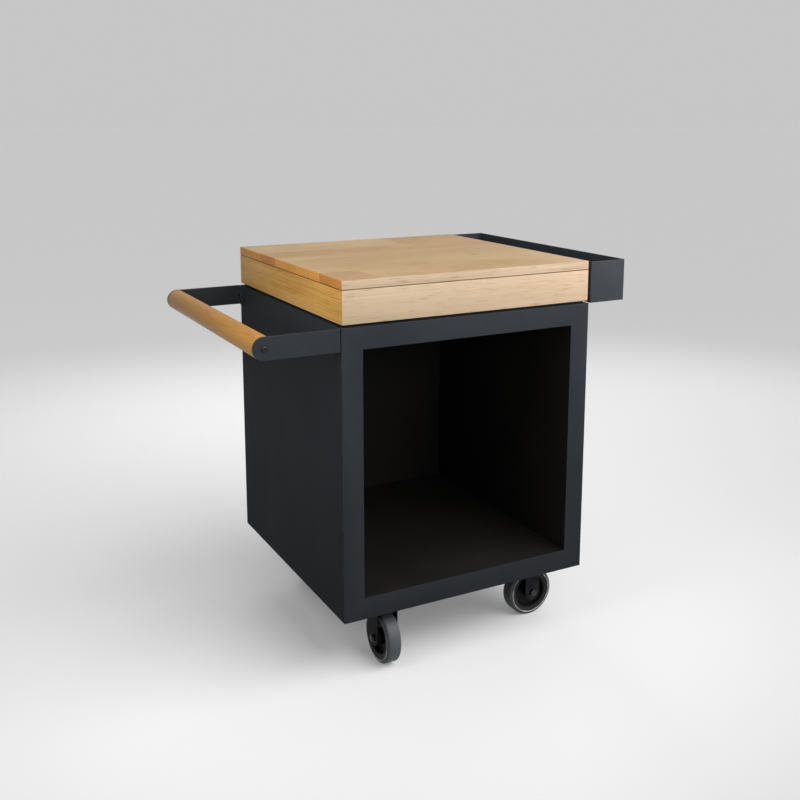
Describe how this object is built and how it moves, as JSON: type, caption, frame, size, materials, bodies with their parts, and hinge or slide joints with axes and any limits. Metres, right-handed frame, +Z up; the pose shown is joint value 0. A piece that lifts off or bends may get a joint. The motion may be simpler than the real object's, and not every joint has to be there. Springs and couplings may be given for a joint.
{
  "type": "mobile outdoor prep table",
  "caption": "Rolling outdoor prep table: steel log cabinet with open bay, hollow wooden block with lift-off board, round push handle, herb trough and swivel casters.",
  "frame": {"origin": "on the floor, under the middle of the overall box, handle and trough included", "axes": "+X to the right along the open front, +Y from the front to the back, +Z up"},
  "size_m": [0.952, 0.6582, 0.922],
  "materials": {
    "powder_coat": "satin dark blue-grey powder coat",
    "liner_coat": "matte black coat",
    "board_wood": "oiled light hardwood",
    "block_wood": "oiled light hardwood",
    "bar_wood": "oiled honey-brown hardwood",
    "black_steel": "black coated pressed steel",
    "zinc_steel": "zinc plated",
    "wheel_plastic": "black moulded",
    "grey_rubber": "dark grey, lightly scuffed"
  },
  "bodies": {
    "table": {"front_frame": "powder_coat", "left_side_panel": "powder_coat", "right_side_panel": "powder_coat", "back_panel": "powder_coat", "base_panel": "powder_coat", "top_panel": "powder_coat", "bay_left_wall": "liner_coat", "bay_right_wall": "liner_coat", "bay_floor": "liner_coat", "bay_ceiling": "liner_coat", "bay_back_wall": "liner_coat", "plinth_frame": "black_steel", "block_front_board": "block_wood", "block_right_board": "block_wood", "block_back_board": "block_wood", "block_left_board": "block_wood", "handle_arm_front": "powder_coat", "handle_arm_back": "powder_coat", "handle_bar": "bar_wood", "handle_bolt_front": "zinc_steel", "handle_bolt_back": "zinc_steel", "arm_screw_front": "zinc_steel", "arm_screw_back": "zinc_steel", "planter_trough": "powder_coat", "trough_screw_1": "zinc_steel", "trough_screw_2": "zinc_steel", "trough_screw_3": "zinc_steel", "trough_screw_4": "zinc_steel", "caster_plate_front_left": "black_steel", "caster_plate_front_right": "black_steel", "caster_plate_back_left": "black_steel", "caster_plate_back_right": "black_steel"},
    "lift_off_board": {"cutting_board": "board_wood", "left_batten": "board_wood", "right_batten": "board_wood"},
    "caster_fork_front_left": {"fork_front_left": "black_steel", "axle_front_left": "zinc_steel", "hub_sleeve_front_left": "zinc_steel"},
    "wheel_front_left": {"wheel_rim_front_left": "wheel_plastic", "tyre_front_left": "grey_rubber"},
    "caster_fork_front_right": {"fork_front_right": "black_steel", "axle_front_right": "zinc_steel", "hub_sleeve_front_right": "zinc_steel"},
    "wheel_front_right": {"wheel_rim_front_right": "wheel_plastic", "tyre_front_right": "grey_rubber"},
    "caster_fork_back_left": {"fork_back_left": "black_steel", "axle_back_left": "zinc_steel", "hub_sleeve_back_left": "zinc_steel"},
    "wheel_back_left": {"wheel_rim_back_left": "wheel_plastic", "tyre_back_left": "grey_rubber"},
    "brake_back_left": {"brake_pedal_back_left": "black_steel"},
    "caster_fork_back_right": {"fork_back_right": "black_steel", "axle_back_right": "zinc_steel", "hub_sleeve_back_right": "zinc_steel"},
    "wheel_back_right": {"wheel_rim_back_right": "wheel_plastic", "tyre_back_right": "grey_rubber"},
    "brake_back_right": {"brake_pedal_back_right": "black_steel"}
  },
  "joints": [
    {"name": "board_lift", "type": "slide", "parent": "table", "child": "lift_off_board", "axis": [0, 0, 1], "range_m": [0, 0.1]},
    {"name": "swivel_front_left", "type": "hinge", "parent": "table", "child": "caster_fork_front_left", "pos_m": [-0.151, -0.2225, 0.14], "axis": [0, 0, 1], "continuous": true},
    {"name": "roll_front_left", "type": "hinge", "parent": "caster_fork_front_left", "child": "wheel_front_left", "pos_m": [-0.151, -0.2625, 0.0625], "axis": [1, 0, 0], "continuous": true},
    {"name": "swivel_front_right", "type": "hinge", "parent": "table", "child": "caster_fork_front_right", "pos_m": [0.243, -0.2225, 0.14], "axis": [0, 0, 1], "continuous": true},
    {"name": "roll_front_right", "type": "hinge", "parent": "caster_fork_front_right", "child": "wheel_front_right", "pos_m": [0.283, -0.2225, 0.0625], "axis": [0, 1, 0], "continuous": true},
    {"name": "swivel_back_left", "type": "hinge", "parent": "table", "child": "caster_fork_back_left", "pos_m": [-0.151, 0.2225, 0.14], "axis": [0, 0, 1], "continuous": true},
    {"name": "roll_back_left", "type": "hinge", "parent": "caster_fork_back_left", "child": "wheel_back_left", "pos_m": [-0.111, 0.2225, 0.0625], "axis": [0, 1, 0], "continuous": true},
    {"name": "brake_back_left", "type": "hinge", "parent": "caster_fork_back_left", "child": "brake_back_left", "pos_m": [-0.075, 0.2225, 0.1305], "axis": [0, 1, 0], "range_deg": [0, 12]},
    {"name": "swivel_back_right", "type": "hinge", "parent": "table", "child": "caster_fork_back_right", "pos_m": [0.243, 0.2225, 0.14], "axis": [0, 0, 1], "continuous": true},
    {"name": "roll_back_right", "type": "hinge", "parent": "caster_fork_back_right", "child": "wheel_back_right", "pos_m": [0.203, 0.2225, 0.0625], "axis": [0, -1, 0], "continuous": true},
    {"name": "brake_back_right", "type": "hinge", "parent": "caster_fork_back_right", "child": "brake_back_right", "pos_m": [0.167, 0.2225, 0.1305], "axis": [0, -1, 0], "range_deg": [0, 12]}
  ]
}
